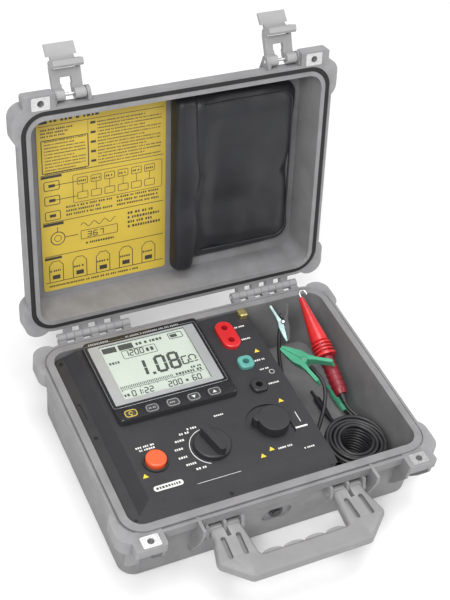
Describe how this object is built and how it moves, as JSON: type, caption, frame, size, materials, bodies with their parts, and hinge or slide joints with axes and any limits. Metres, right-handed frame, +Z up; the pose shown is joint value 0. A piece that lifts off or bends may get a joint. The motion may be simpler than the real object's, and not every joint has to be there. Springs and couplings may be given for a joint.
{
  "type": "insulation resistance tester",
  "caption": "Insulation resistance tester built into a hard grey carrying case, lid open, with display, keys, range knob, test button, terminals, pouch, probe, clips and leads.",
  "frame": {"origin": "centre of the case's flat underside", "axes": "+Z up, +X to the right of the person who faces the panel, -Y to the front where the handle is, +Y to the hinge"},
  "size_m": [0.414, 0.5133, 0.4411],
  "materials": {
    "case_grey": "fine-textured moulded plastic",
    "handle_grey": "fine-textured moulded plastic",
    "steel": "bright stainless",
    "panel_charcoal": "fine-textured",
    "housing_black": "matte",
    "bezel_black": "glossy",
    "frame_silver": "satin silver",
    "screen_glass": "clear",
    "screen_green": "reflective liquid-crystal",
    "key_rubber": "satin",
    "red_plastic": "satin",
    "dark_red_plastic": "satin",
    "green_plastic": "satin",
    "black_plastic": "satin",
    "button_orange": "satin",
    "brass": "satin",
    "gasket_rubber": "matte",
    "label_yellow": "printed film",
    "pouch_vinyl": "soft grained vinyl",
    "board_green": "solder mask",
    "battery_wrap": "printed wrap",
    "lead_rubber": "satin"
  },
  "bodies": {
    "case": {"base_shell": "case_grey", "padlock_plates_base": "steel", "pressure_valve": "black_plastic", "hinge_pins": "steel", "handle_pins": "steel", "instrument_housing": "housing_black", "instrument_panel": "panel_charcoal", "panel_screws": "steel", "panel_catch": "brass", "display_bezel": "bezel_black", "display_frame": "frame_silver", "lcd_glass": "screen_glass", "lcd_module": "screen_green", "terminal_red": "red_plastic", "terminal_green": "green_plastic", "terminal_black": "black_plastic", "terminal_sockets": "brass", "button_collar": "housing_black", "rotary_switch": "black_plastic", "main_board": "board_green", "high_voltage_module": "black_plastic", "battery_pack": "battery_wrap", "red_probe_grip": "dark_red_plastic", "red_probe_body": "red_plastic", "red_probe_hook": "steel", "green_clip_body": "green_plastic", "black_clip_body": "black_plastic", "clip_pins": "steel", "strain_reliefs": "lead_rubber", "lead_black_tube": "lead_rubber", "lead_black_coil": "lead_rubber", "lead_black_plug": "black_plastic", "lead_green_tube": "lead_rubber", "lead_green_coil": "lead_rubber", "lead_green_plug": "green_plastic", "lead_red_tube": "lead_rubber", "lead_red_coil": "lead_rubber", "lead_red_plug": "red_plastic"},
    "handle": {"carry_handle": "handle_grey"},
    "lid": {"lid_shell": "case_grey", "lid_gasket": "gasket_rubber", "padlock_plates_lid": "steel", "instruction_label": "label_yellow", "pouch": "pouch_vinyl", "latch_pins": "steel"},
    "latch_left": {"latch_arm_left": "handle_grey"},
    "latch_right": {"latch_arm_right": "handle_grey"},
    "lever_left": {"latch_lever_left": "handle_grey"},
    "lever_right": {"latch_lever_right": "handle_grey"},
    "test_button": {"test_button": "button_orange"},
    "rotary_knob": {"rotary_knob": "black_plastic"},
    "cover_dial": {"cover_dial": "panel_charcoal"},
    "green_jaw": {"green_clip_jaw": "green_plastic"},
    "black_jaw": {"black_clip_jaw": "black_plastic"},
    "key_1": {"key_1": "key_rubber"},
    "key_2": {"key_2": "key_rubber"},
    "key_3": {"key_3": "key_rubber"},
    "key_4": {"key_4": "key_rubber"},
    "key_5": {"key_5": "key_rubber"}
  },
  "joints": [
    {"name": "lid_hinge", "type": "hinge", "parent": "case", "child": "lid", "pos_m": [0, 0.1608, 0.0922], "axis": [1, 0, 0], "range_deg": [0, 101.9]},
    {"name": "handle_swing", "type": "hinge", "parent": "case", "child": "handle", "pos_m": [0, -0.151, 0.066], "axis": [1, 0, 0], "range_deg": [-15, 52]},
    {"name": "test_button_press", "type": "slide", "parent": "case", "child": "test_button", "axis": [0, 0, -1], "range_m": [0, 0.003], "stiffness_N_per_m": 800},
    {"name": "knob_turn", "type": "hinge", "parent": "case", "child": "rotary_knob", "pos_m": [-0.0565, -0.0605, 0.097], "axis": [0, 0, 1], "range_deg": [-14, 150]},
    {"name": "cover_dial_turn", "type": "hinge", "parent": "case", "child": "cover_dial", "pos_m": [0.0265, -0.054, 0.097], "axis": [0, 0, 1], "range_deg": [0, 90]},
    {"name": "green_clip_open", "type": "hinge", "parent": "case", "child": "green_jaw", "pos_m": [0.121, 0.037, 0.079], "axis": [-0.4512, 0, 0.8924], "range_deg": [-16, 0], "stiffness_Nm_per_rad": 0.5, "springref_deg": 11.46},
    {"name": "black_clip_open", "type": "hinge", "parent": "case", "child": "black_jaw", "pos_m": [0.12, 0.101, 0.088], "axis": [-0.2501, -0.3301, 0.9102], "range_deg": [-16, 0], "stiffness_Nm_per_rad": 0.4, "springref_deg": 11.46},
    {"name": "latch_left_swing", "type": "hinge", "parent": "lid", "child": "latch_left", "pos_m": [-0.1345, 0.24102, 0.4011], "axis": [1, 0, 0], "range_deg": [0, 110]},
    {"name": "lever_left_flip", "type": "hinge", "parent": "latch_left", "child": "lever_left", "pos_m": [-0.1345, 0.26588, 0.42685], "axis": [1, 0, 0], "range_deg": [-60, 0]},
    {"name": "latch_right_swing", "type": "hinge", "parent": "lid", "child": "latch_right", "pos_m": [0.1345, 0.24102, 0.4011], "axis": [1, 0, 0], "range_deg": [0, 110]},
    {"name": "lever_right_flip", "type": "hinge", "parent": "latch_right", "child": "lever_right", "pos_m": [0.1345, 0.26588, 0.42685], "axis": [1, 0, 0], "range_deg": [-60, 0]},
    {"name": "key_1_press", "type": "slide", "parent": "case", "child": "key_1", "axis": [0, 0, -1], "range_m": [0, 0.0008], "stiffness_N_per_m": 500},
    {"name": "key_2_press", "type": "slide", "parent": "case", "child": "key_2", "axis": [0, 0, -1], "range_m": [0, 0.0008], "stiffness_N_per_m": 500},
    {"name": "key_3_press", "type": "slide", "parent": "case", "child": "key_3", "axis": [0, 0, -1], "range_m": [0, 0.0008], "stiffness_N_per_m": 500},
    {"name": "key_4_press", "type": "slide", "parent": "case", "child": "key_4", "axis": [0, 0, -1], "range_m": [0, 0.0008], "stiffness_N_per_m": 500},
    {"name": "key_5_press", "type": "slide", "parent": "case", "child": "key_5", "axis": [0, 0, -1], "range_m": [0, 0.0008], "stiffness_N_per_m": 500}
  ]
}
